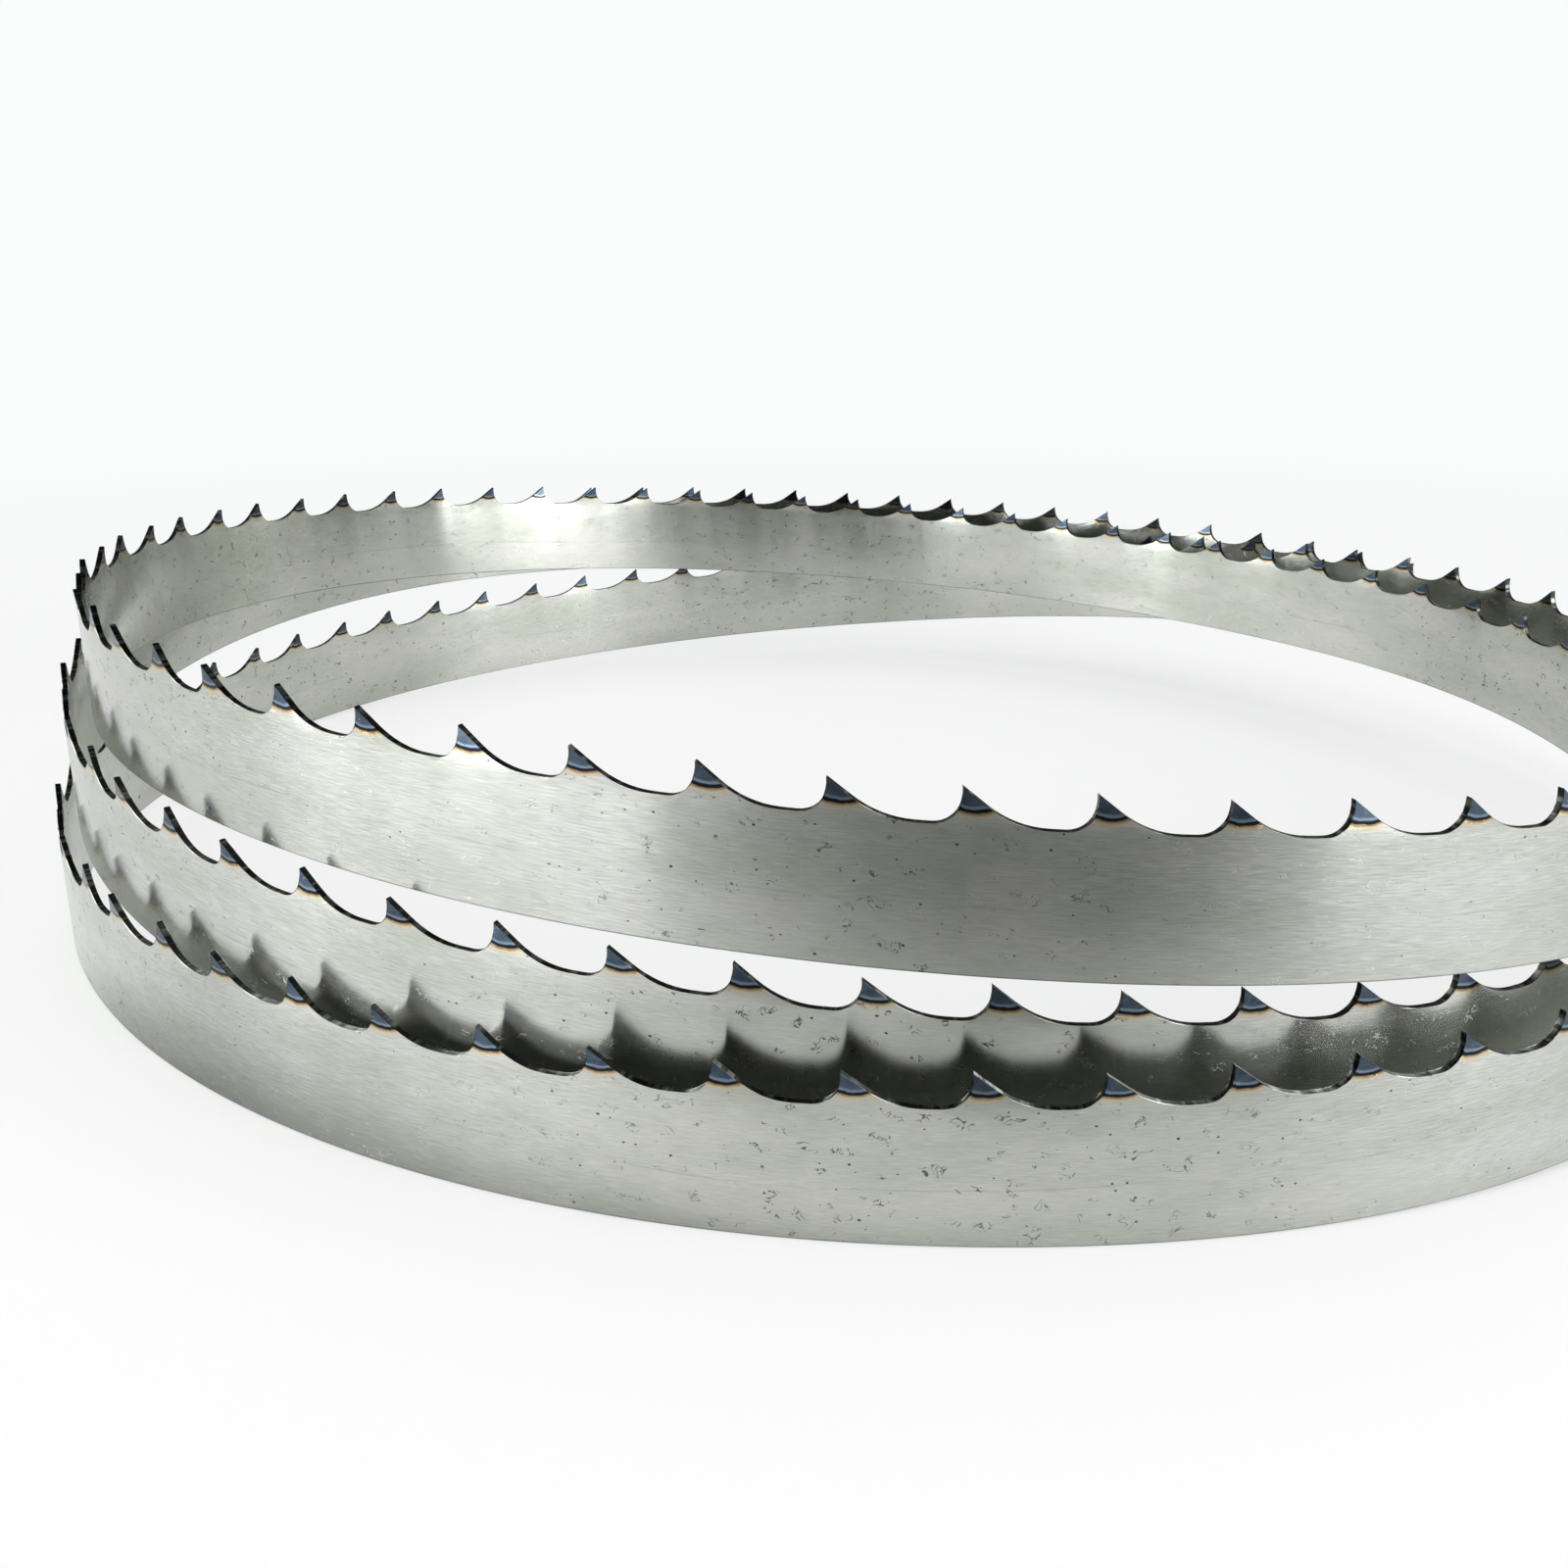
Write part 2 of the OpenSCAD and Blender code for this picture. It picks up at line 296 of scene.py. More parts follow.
def band_tree():
    """The node tree that repeats the flat tooth and bends the row along the path."""
    tree = bpy.data.node_groups.new("band_from_teeth", "GeometryNodeTree")
    face = tree.interface
    face.new_socket("Tooth", in_out="INPUT", socket_type="NodeSocketGeometry")
    face.new_socket("Path", in_out="INPUT", socket_type="NodeSocketObject")
    face.new_socket("Teeth", in_out="INPUT", socket_type="NodeSocketInt")
    face.new_socket("Set", in_out="INPUT", socket_type="NodeSocketFloat")
    face.new_socket("Pitch", in_out="INPUT", socket_type="NodeSocketFloat")
    face.new_socket("Steel", in_out="INPUT", socket_type="NodeSocketMaterial")
    face.new_socket("Band", in_out="OUTPUT", socket_type="NodeSocketGeometry")
    given = node(tree, "NodeGroupInput").outputs

    # A row of teeth, one pitch apart, each knowing its number
    step = node(tree, "ShaderNodeCombineXYZ", None, {"X": given["Pitch"]})
    row = node(
        tree, "GeometryNodeMeshLine", {"mode": "OFFSET"}, {"Count": given["Teeth"], "Offset": step.outputs[0]}
    )
    teeth = node(
        tree, "GeometryNodeInstanceOnPoints", None, {"Points": row.outputs[0], "Instance": given["Tooth"]}
    )
    number = node(tree, "GeometryNodeInputIndex")
    numbered = node(
        tree, "GeometryNodeStoreNamedAttribute", {"data_type": "FLOAT", "domain": "INSTANCE"},
        {"Geometry": teeth.outputs[0], "Name": "tooth_number", "Value": number.outputs[0]},
    )
    flat = node(tree, "GeometryNodeRealizeInstances", None, {"Geometry": numbered.outputs[0]})

    # Set: each tooth leans to its own side, the two at the weld to the same one
    own = node(tree, "GeometryNodeInputNamedAttribute", {"data_type": "FLOAT"}, {"Name": "tooth_number"})
    owner = node(tree, "GeometryNodeInputNamedAttribute", {"data_type": "FLOAT"}, {"Name": "owner"})
    bend = node(tree, "GeometryNodeInputNamedAttribute", {"data_type": "FLOAT"}, {"Name": "bend"})
    leaning = node(tree, "ShaderNodeMath", {"operation": "ADD"}, {0: own.outputs[0], 1: owner.outputs[0]})
    wrapped = node(
        tree, "ShaderNodeMath", {"operation": "MODULO"}, {0: leaning.outputs[0], 1: given["Teeth"]}
    )
    parity = node(tree, "ShaderNodeMath", {"operation": "MODULO"}, {0: wrapped.outputs[0], 1: 2.0})
    side = node(
        tree, "ShaderNodeMath", {"operation": "MULTIPLY_ADD"}, {0: parity.outputs[0], 1: 2.0, 2: -1.0}
    )
    bent = node(tree, "ShaderNodeMath", {"operation": "MULTIPLY"}, {0: side.outputs[0], 1: bend.outputs[0]})
    shift = node(tree, "ShaderNodeMath", {"operation": "MULTIPLY"}, {0: bent.outputs[0], 1: given["Set"]})
    position = node(tree, "GeometryNodeInputPosition")
    axes = node(tree, "ShaderNodeSeparateXYZ", None, {0: position.outputs[0]})

    # The flat position is kept as a map: length along the band and height, in metres
    flat_map = node(tree, "ShaderNodeCombineXYZ", None, {"X": axes.outputs["X"], "Y": axes.outputs["Z"]})
    mapped = node(
        tree, "GeometryNodeStoreNamedAttribute", {"data_type": "FLOAT2", "domain": "CORNER"},
        {"Geometry": flat.outputs[0], "Name": "UVMap", "Value": flat_map.outputs[0]},
    )

    # Bend: each point goes to its length on the path, outward by y and up by z
    path = node(tree, "GeometryNodeObjectInfo", None, {"Object": given["Path"]})
    total = node(tree, "GeometryNodeCurveLength", None, {"Curve": path.outputs["Geometry"]})
    run = node(tree, "ShaderNodeMath", {"operation": "MULTIPLY"}, {0: given["Teeth"], 1: given["Pitch"]})
    ahead = node(
        tree, "ShaderNodeMath", {"operation": "MULTIPLY_ADD"},
        {0: given["Pitch"], 1: FIRST_TIP, 2: axes.outputs["X"]},
    )
    share = node(tree, "ShaderNodeMath", {"operation": "DIVIDE"}, {0: ahead.outputs[0], 1: run.outputs[0]})
    part = node(tree, "ShaderNodeMath", {"operation": "FRACT"}, {0: share.outputs[0]})
    along = node(tree, "ShaderNodeMath", {"operation": "MULTIPLY"}, {0: part.outputs[0], 1: total.outputs[0]})
    sample = node(
        tree, "GeometryNodeSampleCurve", {"mode": "LENGTH"},
        {"Curves": path.outputs["Geometry"], "Length": along.outputs[0]},
    )
    up = (0.0, 0.0, 1.0)
    across = node(
        tree, "ShaderNodeVectorMath", {"operation": "CROSS_PRODUCT"}, {0: up, 1: sample.outputs["Tangent"]}
    )
    outward = node(tree, "ShaderNodeVectorMath", {"operation": "NORMALIZE"}, {0: across.outputs[0]})
    stand = node(tree, "ShaderNodeMath", {"operation": "ADD"}, {0: axes.outputs["Y"], 1: shift.outputs[0]})
    sideways = node(
        tree, "ShaderNodeVectorMath", {"operation": "SCALE"},
        {0: outward.outputs[0], "Scale": stand.outputs[0]},
    )
    raised = node(tree, "ShaderNodeCombineXYZ", None, {"Z": axes.outputs["Z"]})
    lifted = node(
        tree, "ShaderNodeVectorMath", {"operation": "ADD"},
        {0: sample.outputs["Position"], 1: raised.outputs[0]},
    )
    final = node(
        tree, "ShaderNodeVectorMath", {"operation": "ADD"}, {0: lifted.outputs[0], 1: sideways.outputs[0]}
    )
    wound = node(
        tree, "GeometryNodeSetPosition", None, {"Geometry": mapped.outputs[0], "Position": final.outputs[0]}
    )
    closed = node(
        tree, "GeometryNodeMergeByDistance", None, {"Geometry": wound.outputs[0], "Distance": WELD_DISTANCE}
    )

    # Faces are smooth, and the ground edges stay crisp
    soft = node(
        tree, "GeometryNodeSetShadeSmooth", {"domain": "FACE"}, {0: closed.outputs[0], "Shade Smooth": True}
    )
    angle = node(tree, "GeometryNodeInputMeshEdgeAngle")
    crisp = node(
        tree, "FunctionNodeCompare", {"data_type": "FLOAT", "operation": "GREATER_THAN"},
        {0: angle.outputs[0], 1: CRISP_ANGLE},
    )
    shaded = node(
        tree, "GeometryNodeSetShadeSmooth", {"domain": "EDGE"},
        {0: soft.outputs[0], "Selection": crisp.outputs[0], "Shade Smooth": False},
    )
    whole = node(tree, "GeometryNodeRealizeInstances", None, {"Geometry": shaded.outputs[0]})
    dressed = node(
        tree, "GeometryNodeSetMaterial", None, {"Geometry": whole.outputs[0], "Material": given["Steel"]}
    )
    node(tree, "NodeGroupOutput", None, {"Band": dressed.outputs[0]})
    place_all(tree)
    return tree


# Steel: hardened and tempered carbon strip, ground lengthwise, with induction-hardened tooth tips.
# Grinding gives a satin mirror that blurs upward and downward more than along the band, and the
# heat of hardening leaves blue oxide on each tip, with amber and straw where it fades out.

# Length and height of each pattern's features on the band, in millimetres
PATCH_SIZE = (26.0, 7.0)
CLOUD_SIZE = (4.5, 1.8)
GRAIN_SIZE = (2.6, 0.14)
FINE_GRAIN_SIZE = (1.1, 0.08)
PIT_CELL = (1.2, 0.9)
PIT_GROUP = (14.0, 8.0)
CURL_SIZE = (1.6, 1.2)
CURL_SPOT = (2.4, 1.9)
BURR_SIZE = (1.3, 1.3)
# Place of the hardened tips' round border on a tooth, in millimetres: how far each tooth's own stretch
# runs ahead of its tip, the border's centre back from the tip and above it, and the border's radius
TIP_LEAD = 1.5
TIP_CENTRE_BACK = 1.2
TIP_CENTRE_UP = 2.0
TIP_RADIUS = 4.45
# The roller line's lowest height above the smooth edge, and how far it sways, in millimetres
LINE_HEIGHT = 4.6
LINE_SWAY = 4.8


def ground_steel(sizes, colours):
    """The blade's material, with its patterns laid out on the flat map in millimetres."""
    steel = bpy.data.materials.new("ground_carbon_steel_hardened_tips")
    steel.use_nodes = True
    tree = steel.node_tree
    tree.nodes.clear()

    def math_node(operation, *values):
        return node(tree, "ShaderNodeMath", {"operation": operation}, dict(enumerate(values))).outputs[0]

    def ranged(value, low, high, to_low=0.0, to_high=1.0, smooth=False):
        kind = "SMOOTHSTEP" if smooth else "LINEAR"
        return node(
            tree, "ShaderNodeMapRange", {"interpolation_type": kind, "clamp": True},
            {"Value": value, "From Min": low, "From Max": high, "To Min": to_low, "To Max": to_high},
        ).outputs[0]

    def mixed(factor, a, b, kind="MIX"):
        return node(
            tree, "ShaderNodeMix", {"data_type": "RGBA", "blend_type": kind}, {0: factor, 6: a, 7: b}
        ).outputs[2]

    def noise(vector, scale, detail=2.0, roughness=0.5, distortion=0.0):
        return node(
            tree, "ShaderNodeTexNoise", None,
            {"Vector": vector, "Scale": scale, "Detail": detail,
             "Roughness": roughness, "Distortion": distortion},
        ).outputs[0]

    flat_map = node(tree, "ShaderNodeUVMap", {"uv_map": "UVMap"}).outputs[0]
    in_mm = node(
        tree, "ShaderNodeVectorMath", {"operation": "SCALE"}, {0: flat_map, "Scale": 1000.0}
    ).outputs[0]
    axes = node(tree, "ShaderNodeSeparateXYZ", None, {0: in_mm}).outputs
    along, height = axes["X"], axes["Y"]

    def stretched(length_mm, height_mm, seed=0.0):
        x = math_node("DIVIDE", along, length_mm)
        y = math_node("DIVIDE", height, height_mm)
        return node(tree, "ShaderNodeCombineXYZ", None, {"X": x, "Y": y, "Z": seed}).outputs[0]

    # Place on a tooth, in mm back from its tip and down from it
    pitch = sizes.tooth_pitch * 1000
    shifted = math_node("SUBTRACT", TIP_LEAD, along)
    on_tooth = math_node("SUBTRACT", math_node("FLOORED_MODULO", shifted, pitch), TIP_LEAD)
    down = math_node("SUBTRACT", sizes.band_width * 1000, height)

    # Hardened tip: inside a shallow round line, about 2.4 mm below the tip
    wobble = ranged(noise(stretched(1.1, 1.1, 3.0), 1.0, 1.0), 0.3, 0.7, -0.06, 0.06)
    dx = math_node("SUBTRACT", on_tooth, TIP_CENTRE_BACK)
    dy = math_node("ADD", down, TIP_CENTRE_UP)
    squares = math_node("ADD", math_node("MULTIPLY", dx, dx), math_node("MULTIPLY", dy, dy))
    reach = math_node("SQRT", squares)
    heat = math_node("ADD", math_node("SUBTRACT", reach, TIP_RADIUS), wobble)

    # Steel colour: long soft patches, and broken strokes of grain 0.1 to 0.2 mm high
    patches = ranged(noise(stretched(*PATCH_SIZE, 1.0), 1.0, 3.0), 0.35, 0.65, smooth=True)
    base = mixed(patches, tuple(colours.steel), tuple(colours.steel_shade))
    cloud_tone = ranged(noise(stretched(*CLOUD_SIZE, 4.0), 1.0, 3.0, 0.6), 0.3, 0.7, 0.96, 1.03)
    grain = noise(stretched(*GRAIN_SIZE, 2.0), 1.0, 3.0, 0.6)
    fine_grain = noise(stretched(*FINE_GRAIN_SIZE, 5.0), 1.0, 2.0, 0.5)
    both_grains = math_node("ADD", grain, math_node("MULTIPLY", fine_grain, 0.5))
    grain_tone = ranged(both_grains, 0.45, 1.05, 0.78, 1.1)
    grain_tone = math_node("MULTIPLY", grain_tone, cloud_tone)
    grain_colour = node(
        tree, "ShaderNodeCombineColor", None, {"Red": grain_tone, "Green": grain_tone, "Blue": grain_tone}
    ).outputs[0]
    base = mixed(1.0, base, grain_colour, "MULTIPLY")

    # Pits: dark specks up to about a third of a millimetre, in loose groups
    cell_map = stretched(*PIT_CELL)
    cells = node(
        tree, "ShaderNodeTexVoronoi", {"feature": "F1"}, {"Vector": cell_map, "Scale": 1.0, "Randomness": 1.0}
    )
    cell_draw = node(tree, "ShaderNodeSeparateColor", None, {0: cells.outputs["Color"]}).outputs
    groups = ranged(noise(stretched(*PIT_GROUP, 7.0), 1.0, 2.0), 0.36, 0.62, 0.3, 0.9)
    chosen = math_node("LESS_THAN", cell_draw["Red"], groups)
    pit_size = ranged(math_node("POWER", cell_draw["Green"], 2.5), 0.0, 1.0, 0.045, 0.16)
    pit_edge = math_node("SUBTRACT", pit_size, cells.outputs["Distance"])
    pits = math_node("MULTIPLY", ranged(pit_edge, -0.03, 0.03, smooth=True), chosen)

    # Short curly scratches: thin contour lines of a slow noise, kept only in a few spots
    slow = noise(stretched(*CURL_SIZE, 11.0), 1.0, 1.0, 0.5, 1.5)
    curl = math_node("ABSOLUTE", math_node("SUBTRACT", slow, 0.5))
    spots = ranged(noise(stretched(*CURL_SPOT, 13.0), 1.0, 1.0), 0.61, 0.645)
    curls = math_node("MULTIPLY", ranged(curl, 0.03, 0.012), spots)
    marks = math_node("MAXIMUM", pits, math_node("MULTIPLY", curls, 0.75))
    base = mixed(math_node("MULTIPLY", marks, 0.9), base, tuple(colours.pit_and_edge_shade))

    # Painted shade: a thin dark line along the smooth edge. A faint roller line shows here and there above
    # it, paler below
    painted_edge_shade = ranged(height, 0.2, 0.08, 0.0, 0.6)
    base = mixed(painted_edge_shade, base, tuple(colours.pit_and_edge_shade))
    sway = math_node("MULTIPLY", noise(stretched(60.0, 60.0, 23.0), 1.0, 1.0), LINE_SWAY)
    above_line = math_node("SUBTRACT", math_node("SUBTRACT", height, sway), LINE_HEIGHT)
    line_seen = ranged(noise(stretched(22.0, 22.0, 29.0), 1.0, 1.0), 0.45, 0.6)
    line = math_node("MULTIPLY", ranged(math_node("ABSOLUTE", above_line), 0.14, 0.04, 0.0, 0.14), line_seen)
    base = mixed(line, base, tuple(colours.pit_and_edge_shade))
    strip = math_node("MULTIPLY", ranged(above_line, 0.1, -0.4, 0.0, 0.2), line_seen)
    base = mixed(strip, base, tuple(colours.steel))

    # Temper colours, from the steel inward
    base = mixed(ranged(heat, 1.0, 0.1, 0.0, 0.75, True), base, tuple(colours.straw))
    base = mixed(ranged(heat, 0.4, 0.04, 0.0, 0.8, True), base, tuple(colours.amber))
    border = ranged(heat, 0.06, -0.03, smooth=True)
    base = mixed(border, base, tuple(colours.tip_border))
    crescent = ranged(heat, -0.28, -0.40, 0.0, 0.85, True)
    base = mixed(crescent, base, tuple(colours.tip_light))
    blue_patch = ranged(noise(stretched(1.4, 1.0, 17.0), 1.0, 2.0), 0.3, 0.7, 0.75, 1.0)
    inside = math_node("MULTIPLY", ranged(heat, -0.5, -0.75, smooth=True), blue_patch)
    base = mixed(inside, base, tuple(colours.tip_blue))

    # Milled edges: dark and dull, broken by paler burrs
    cut = node(
        tree, "ShaderNodeAttribute", {"attribute_type": "GEOMETRY", "attribute_name": "cut_edge"}
    ).outputs["Fac"]
    burr = ranged(noise(stretched(*BURR_SIZE, 19.0), 1.0, 3.0, 0.6), 0.5, 0.64)
    edge_colour = mixed(burr, tuple(colours.pit_and_edge_shade), tuple(colours.cut_edge))
    base = mixed(ranged(cut, 0.25, 0.8), base, edge_colour)

    # Roughness and relief: grain, and pits and scratches that are duller and lie deeper
    rough = ranged(grain, 0.25, 0.75, 0.17, 0.195)
    rough = math_node("ADD", rough, math_node("MULTIPLY", marks, 0.3))
    rough = math_node("ADD", rough, math_node("MULTIPLY", cut, 0.15))
    relief = math_node("ADD", math_node("MULTIPLY", grain, 0.6), math_node("MULTIPLY", fine_grain, 0.4))
    relief = math_node("SUBTRACT", relief, math_node("MULTIPLY", marks, 2.5))
    bump = node(
        tree, "ShaderNodeBump", None, {"Strength": 0.06, "Distance": 0.00003, "Height": relief}
    ).outputs[0]
    tangent = node(tree, "ShaderNodeTangent", {"direction_type": "UV_MAP", "uv_map": "UVMap"}).outputs[0]
    surface = node(
        tree, "ShaderNodeBsdfPrincipled", None,
        {"Base Color": base, "Metallic": 1.0, "Roughness": rough, "Normal": bump, "Tangent": tangent,
         "Anisotropic": 0.9, "Anisotropic Rotation": 0.25},
    )
    node(tree, "ShaderNodeOutputMaterial", None, {"Surface": surface.outputs[0]})
    place_all(tree)
    return steel


class BAND_OT_blade(bpy.types.Operator):
    """Make the toothed band and wind it into its three turns"""

    bl_idname = "saw_blade.add_blade"
    bl_label = "Add blade"
    bl_options = {"REGISTER", "UNDO"}

    def execute(self, context):
        sizes = context.scene.blade_sizes
        path = path_object(sizes)
        steel = ground_steel(sizes, context.scene.blade_colours)
        maker = bpy.data.objects.new("band_maker", flat_tooth(sizes))
        context.scene.collection.objects.link(maker)
        tree = band_tree()
        modifier = maker.modifiers.new("Band", "NODES")
        modifier.node_group = tree
        values = {
            "Path": path, "Teeth": sizes.tooth_count, "Set": sizes.tooth_set, "Pitch": sizes.tooth_pitch,
            "Steel": steel,
        }
        for item in tree.interface.items_tree:
            if item.in_out == "INPUT" and item.name in values:
                modifier[item.identifier] = values[item.name]
        maker.update_tag()
        graph = context.evaluated_depsgraph_get()
        mesh = bpy.data.meshes.new_from_object(
            maker.evaluated_get(graph), preserve_all_data_layers=True, depsgraph=graph
        )
        mesh.name = "saw_blade"
        maker.modifiers.remove(modifier)
        bpy.data.objects.remove(maker)
        bpy.data.objects.remove(path)
        if len(mesh.polygons) < sizes.tooth_count:
            raise RuntimeError("the band came out empty")
        blade = bpy.data.objects.new("saw_blade", mesh)
        context.scene.collection.objects.link(blade)
        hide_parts("blade")
        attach(blade, "root")
        return {"FINISHED"}


# The camera's place in metres, its tilt and turn, and its lens, found from the tooth tips in the photo
CAMERA_PLACE = (-0.01440, -0.26424, 0.09287)
CAMERA_DOWN = math.radians(18.261)
CAMERA_ROLL = math.radians(-0.28)
CAMERA_LENS = 36.47


# The card's half size and its drop below the blade, in metres
CARD_REACH = 3.0
CARD_DROP = 0.00005
# Where the card turns plain, in metres: out from the blade for the camera, and, for reflections only,
# out from the coil's middle, forward (y) and to either side (x)
PLAIN_FROM, PLAIN_TO = 0.2, 0.7
COIL_FROM, COIL_TO = 0.118, 0.138
FRONT_FROM, FRONT_TO = 0.02, -0.1
SIDE_FROM, SIDE_TO = 0.03, 0.08
# Brightness of the room from the camera's side (0) to the far side (1): dark behind the camera, a window,
# then plain walls. The two ends come first, as the ramp starts with them. The left and the right half of
# the room have their windows at different places.
LEFT_LEVELS = ((0.0, 0.03), (1.0, 0.2), (0.12, 0.1), (0.24, 0.3), (0.31, 5.2), (0.6, 5.4), (0.7, 0.2))
RIGHT_LEVELS = ((0.0, 0.03), (1.0, 0.2), (0.04, 0.1), (0.08, 3.2), (0.16, 5.0), (0.34, 3.6), (0.42, 0.2))
# The brightness that full white in a ramp stands for, and the room's level for all but mirror rays
ROOM_PEAK = 6.5
ROOM_SHADE = 0.6
# Soft boxes: name, place in metres, width, height and power in watts
SOFT_BOXES = (
    ("left_box", (-0.57, -0.43, 0.1), 0.6, 0.18, 3.8),
    ("right_box", (0.62, -0.35, 0.2), 0.6, 0.38, 3.8),
    ("top_box", (0.0, 0.2, 1.1), 1.2, 1.2, 6.0),
)
LAMP_AIM = Vector((0, 0, 0.03))
# Painted shade on the card, which only reflections show, in soft patches: centre and half sizes in metres,
# and how dark
PAINTED_SHADE_PATCHES = (((0.028, -0.3), (0.138, 0.14), 0.82), ((-0.01, -0.08), (0.09, 0.045), 0.95))


class BAND_OT_stage(bpy.types.Operator):
    """Make the white floor, the soft light and the camera"""

    bl_idname = "saw_blade.add_stage"
    bl_label = "Add stage"
    bl_options = {"REGISTER", "UNDO"}

    def execute(self, context):
        scene = context.scene
        look = scene.stage_look

        # Matt white sheet, which keeps a faint shadow
        paper = bpy.data.materials.new("matt_white_card")
        paper.use_nodes = True
        tree = paper.node_tree
        tree.nodes.clear()
        card = node(
            tree, "ShaderNodeBsdfPrincipled", None,
            {"Base Color": tuple(look.floor), "Roughness": 0.9, "Specular IOR Level": 0.2},
        )
        # Seen by the camera, the card is mostly plain white, and wholly plain far from the blade
        spot = node(tree, "ShaderNodeTexCoord").outputs["Object"]
        away = node(tree, "ShaderNodeVectorMath", {"operation": "LENGTH"}, {0: spot}).outputs["Value"]
        plain_share = node(
            tree, "ShaderNodeMapRange", {"interpolation_type": "SMOOTHSTEP"},
            {"Value": away, "From Min": PLAIN_FROM, "From Max": PLAIN_TO, "To Min": 0.6, "To Max": 1.0},
        ).outputs[0]
        seen = node(tree, "ShaderNodeLightPath").outputs["Is Camera Ray"]
        share = node(tree, "ShaderNodeMath", {"operation": "MULTIPLY"}, {0: plain_share, 1: seen}).outputs[0]
        white = node(tree, "ShaderNodeEmission", None, {"Color": tuple(look.backdrop), "Strength": 1.0})
        both = node(tree, "ShaderNodeMixShader", None, {0: share, 1: card.outputs[0], 2: white.outputs[0]})
        # In reflections only, the card in front of the coil is plain white at both sides, with painted shade
        # in the middle. Painted shade darkens it further in two soft patches: before the camera, as its
        # shadow, and just inside the front turns, as the shade between them
        glossy = node(tree, "ShaderNodeLightPath").outputs["Is Glossy Ray"]
        outside = node(
            tree, "ShaderNodeMapRange", {"interpolation_type": "SMOOTHSTEP"},
            {"Value": away, "From Min": COIL_FROM, "From Max": COIL_TO},
        ).outputs[0]
        card_axes = node(tree, "ShaderNodeSeparateXYZ", None, {0: spot}).outputs
        in_front = node(
            tree, "ShaderNodeMapRange", {"interpolation_type": "SMOOTHSTEP"},
            {"Value": card_axes["Y"], "From Min": FRONT_FROM, "From Max": FRONT_TO},
        ).outputs[0]
        outside = node(
            tree, "ShaderNodeMath", {"operation": "MULTIPLY"}, {0: outside, 1: in_front}
        ).outputs[0]
        # Painted shade: the middle in front of the coil stays darker in reflections
        aside = node(tree, "ShaderNodeMath", {"operation": "ABSOLUTE"}, {0: card_axes["X"]}).outputs[0]
        open_share = node(
            tree, "ShaderNodeMapRange", {"interpolation_type": "SMOOTHSTEP"},
            {"Value": aside, "From Min": SIDE_FROM, "From Max": SIDE_TO, "To Min": 0.05, "To Max": 1.0},
        ).outputs[0]
        outside = node(
            tree, "ShaderNodeMath", {"operation": "MULTIPLY"}, {0: outside, 1: open_share}
        ).outputs[0]
        mirrored = node(tree, "ShaderNodeMath", {"operation": "MULTIPLY"}, {0: outside, 1: glossy}).outputs[0]
        surface = node(
            tree, "ShaderNodeMixShader", None, {0: mirrored, 1: both.outputs[0], 2: white.outputs[0]}
        )
        # Painted shade: a dark matt sheet mixed in where the camera's shadow and the shade inside the turns
        # fall
        dark = node(tree, "ShaderNodeBsdfDiffuse", None, {"Color": linear("#202020")})
        for centre, reach, depth in PAINTED_SHADE_PATCHES:
            moved = node(
                tree, "ShaderNodeMapping", {"vector_type": "TEXTURE"},
                {"Vector": spot, "Location": (*centre, 0.0), "Scale": (*reach, 1.0)},
            ).outputs[0]
            out = node(tree, "ShaderNodeVectorMath", {"operation": "LENGTH"}, {0: moved}).outputs["Value"]
            patch = node(
                tree, "ShaderNodeMapRange", {"interpolation_type": "SMOOTHSTEP"},
                {"Value": out, "From Min": 1.3, "From Max": 0.6, "To Min": 0.0, "To Max": depth},
            ).outputs[0]
            patch_share = node(
                tree, "ShaderNodeMath", {"operation": "MULTIPLY"}, {0: patch, 1: glossy}
            ).outputs[0]
            surface = node(
                tree, "ShaderNodeMixShader", None, {0: patch_share, 1: surface.outputs[0], 2: dark.outputs[0]}
            )
        node(tree, "ShaderNodeOutputMaterial", None, {"Surface": surface.outputs[0]})
        place_all(tree)
        mesh = bpy.data.meshes.new("floor")
        signs = ((-1, -1), (1, -1), (1, 1), (-1, 1))
        corners = [(x * CARD_REACH, y * CARD_REACH, -CARD_DROP) for x, y in signs]
        mesh.from_pydata(corners, [], [(0, 1, 2, 3)])
        mesh.materials.append(paper)
        floor = bpy.data.objects.new("floor", mesh)
        scene.collection.objects.link(floor)

        # White surroundings for the camera. Reflections see the room: two windows between darker walls
        world = bpy.data.worlds.new("white_room")
        scene.world = world
        world.use_nodes = True
        tree = world.node_tree
        tree.nodes.clear()
        way = node(tree, "ShaderNodeTexCoord").outputs["Generated"]
        flat_way = node(
            tree, "ShaderNodeVectorMath", {"operation": "MULTIPLY"}, {0: way, 1: (1.0, 1.0, 0.0)}
        ).outputs[0]
        bearing = node(tree, "ShaderNodeVectorMath", {"operation": "NORMALIZE"}, {0: flat_way}).outputs[0]
        depth_share = node(tree, "ShaderNodeSeparateXYZ", None, {0: bearing}).outputs["Y"]
        far_share = node(
            tree, "ShaderNodeMapRange", None, {"Value": depth_share, "From Min": -1.0, "From Max": 1.0}
        ).outputs[0]
        halves = []
        for levels in (LEFT_LEVELS, RIGHT_LEVELS):
            ramp = node(tree, "ShaderNodeValToRGB", None, {0: far_share})
            band = ramp.color_ramp
            band.interpolation = "EASE"
            for i, (stop_place, level) in enumerate(levels):
                stop = band.elements[i] if i < 2 else band.elements.new(stop_place)
                stop.position = stop_place
                grey = level / ROOM_PEAK
                stop.color = (grey, grey, grey, 1.0)
            halves.append(ramp.outputs[0])
        side_share = node(tree, "ShaderNodeSeparateXYZ", None, {0: bearing}).outputs["X"]
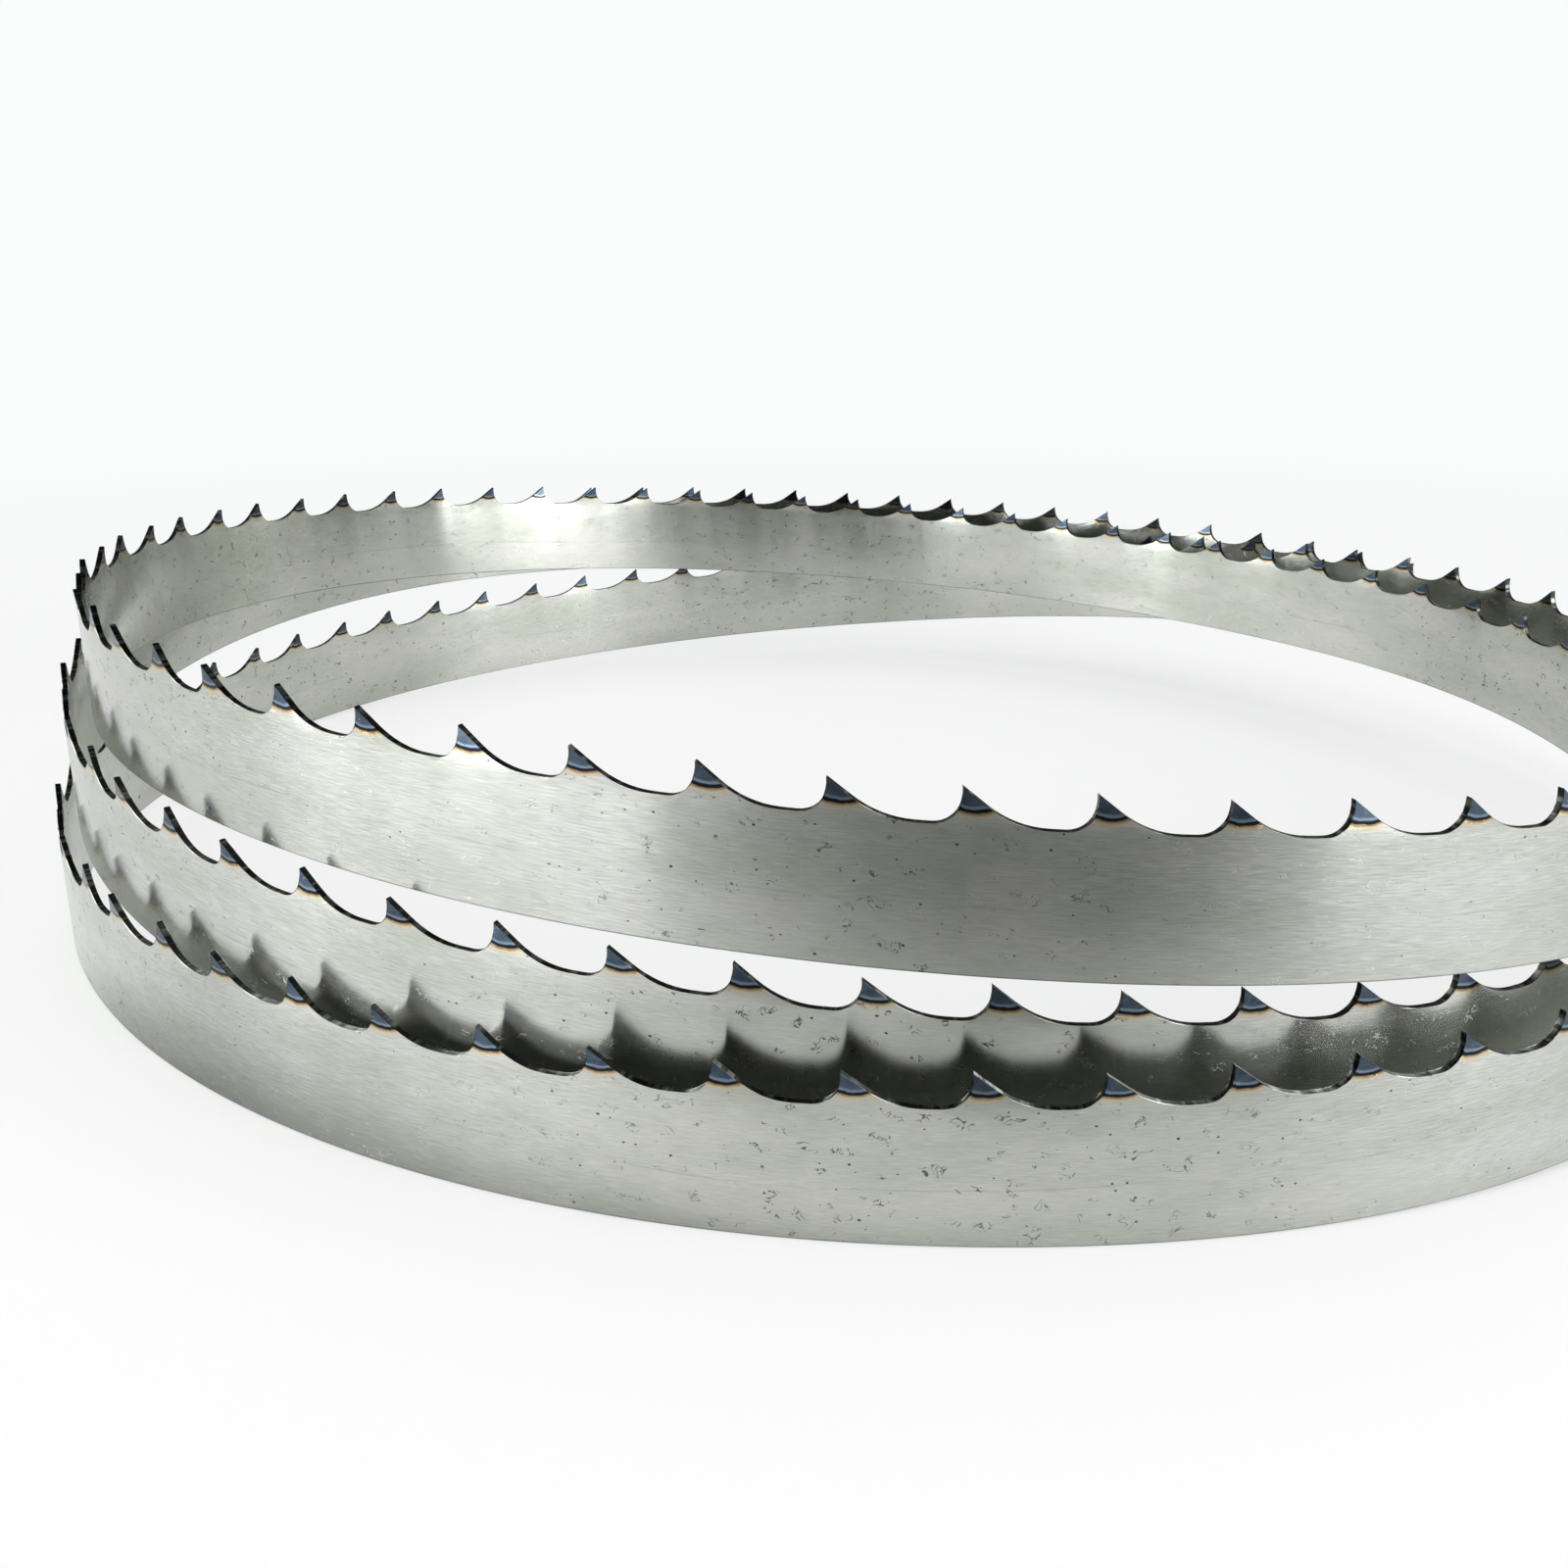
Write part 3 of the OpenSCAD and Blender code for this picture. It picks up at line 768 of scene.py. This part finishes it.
        side = node(
            tree, "ShaderNodeMapRange", {"interpolation_type": "SMOOTHSTEP"},
            {"Value": side_share, "From Min": -0.2, "From Max": 0.2},
        ).outputs[0]
        room = node(
            tree, "ShaderNodeMix", {"data_type": "FLOAT"}, {0: side, 2: halves[0], 3: halves[1]}
        ).outputs[0]
        room = node(tree, "ShaderNodeMath", {"operation": "MULTIPLY"}, {0: room, 1: ROOM_PEAK}).outputs[0]
        rise = node(tree, "ShaderNodeSeparateXYZ", None, {0: way}).outputs["Z"]
        ceiling = node(
            tree, "ShaderNodeMapRange", {"interpolation_type": "SMOOTHSTEP"},
            {"Value": rise, "From Min": 0.5, "From Max": 0.85, "To Min": 1.0, "To Max": 0.12},
        ).outputs[0]
        room = node(tree, "ShaderNodeMath", {"operation": "MULTIPLY"}, {0: room, 1: ceiling}).outputs[0]
        rays = node(tree, "ShaderNodeLightPath").outputs
        room = node(
            tree, "ShaderNodeMix", {"data_type": "FLOAT"}, {0: rays["Is Glossy Ray"], 2: ROOM_SHADE, 3: room}
        ).outputs[0]
        plain = node(tree, "ShaderNodeBackground", None, {"Color": tuple(look.backdrop), "Strength": 1.0})
        lit = node(tree, "ShaderNodeBackground", None, {"Color": tuple(look.backdrop), "Strength": room})
        shown = node(
            tree, "ShaderNodeMixShader", None,
            {0: rays["Is Camera Ray"], 1: lit.outputs[0], 2: plain.outputs[0]},
        )
        node(tree, "ShaderNodeOutputWorld", None, {"Surface": shown.outputs[0]})
        place_all(tree)

        # Two wide soft boxes, left and right of the camera, and a large one overhead
        for name, place, across, tall, power in SOFT_BOXES:
            lamp = bpy.data.lights.new(name, "AREA")
            lamp.shape = "RECTANGLE"
            lamp.size = across
            lamp.size_y = tall
            lamp.energy = look.lamp_level * power
            holder = bpy.data.objects.new(name, lamp)
            holder.location = place
            holder.rotation_euler = (LAMP_AIM - Vector(place)).to_track_quat("-Z", "Y").to_euler()
            holder.visible_glossy = name != "top_box"
            scene.collection.objects.link(holder)

        # The camera, at the photo's place and turn
        right = Vector((1, 0, 0))
        back = Vector((0, -math.cos(CAMERA_DOWN), math.sin(CAMERA_DOWN)))
        up = back.cross(right)
        right_turned = math.cos(CAMERA_ROLL) * right + math.sin(CAMERA_ROLL) * up
        up_turned = back.cross(right_turned)
        data = bpy.data.cameras.new("photo_camera")
        data.sensor_width = 36.0
        data.lens = CAMERA_LENS
        data.clip_start = 0.01
        camera = bpy.data.objects.new("photo_camera", data)
        turn = Matrix((right_turned, up_turned, back)).transposed().to_4x4()
        camera.matrix_world = Matrix.Translation(CAMERA_PLACE) @ turn
        scene.collection.objects.link(camera)
        scene.camera = camera
        scene.view_settings.view_transform = "Standard"
        return {"FINISHED"}


class BAND_PT_panel(bpy.types.Panel):
    """Sizes, colours and the buttons that make the blade and its stage"""

    bl_idname = "BAND_PT_panel"
    bl_label = "Band saw blade"
    bl_space_type = "VIEW_3D"
    bl_region_type = "UI"
    bl_category = "Saw blade"

    def draw(self, context):
        layout = self.layout
        for holder in (context.scene.blade_sizes, context.scene.blade_colours, context.scene.stage_look):
            box = layout.box()
            for name in holder.__annotations__:
                box.prop(holder, name)
        layout.operator(BAND_OT_blade.bl_idname)
        layout.operator(BAND_OT_stage.bl_idname)


CLASSES = (BladeSizes, BladeColours, StageLook, BAND_OT_blade, BAND_OT_stage, BAND_PT_panel)


def register():
    for item in CLASSES:
        bpy.utils.register_class(item)
    bpy.types.Scene.blade_sizes = PointerProperty(type=BladeSizes)
    bpy.types.Scene.blade_colours = PointerProperty(type=BladeColours)
    bpy.types.Scene.stage_look = PointerProperty(type=StageLook)


def unregister():
    del bpy.types.Scene.stage_look
    del bpy.types.Scene.blade_colours
    del bpy.types.Scene.blade_sizes
    for item in reversed(CLASSES):
        bpy.utils.unregister_class(item)


def main():
    register()
    bpy.ops.saw_blade.add_blade()
    bpy.ops.saw_blade.add_stage()


if __name__ == "__main__":
    main()
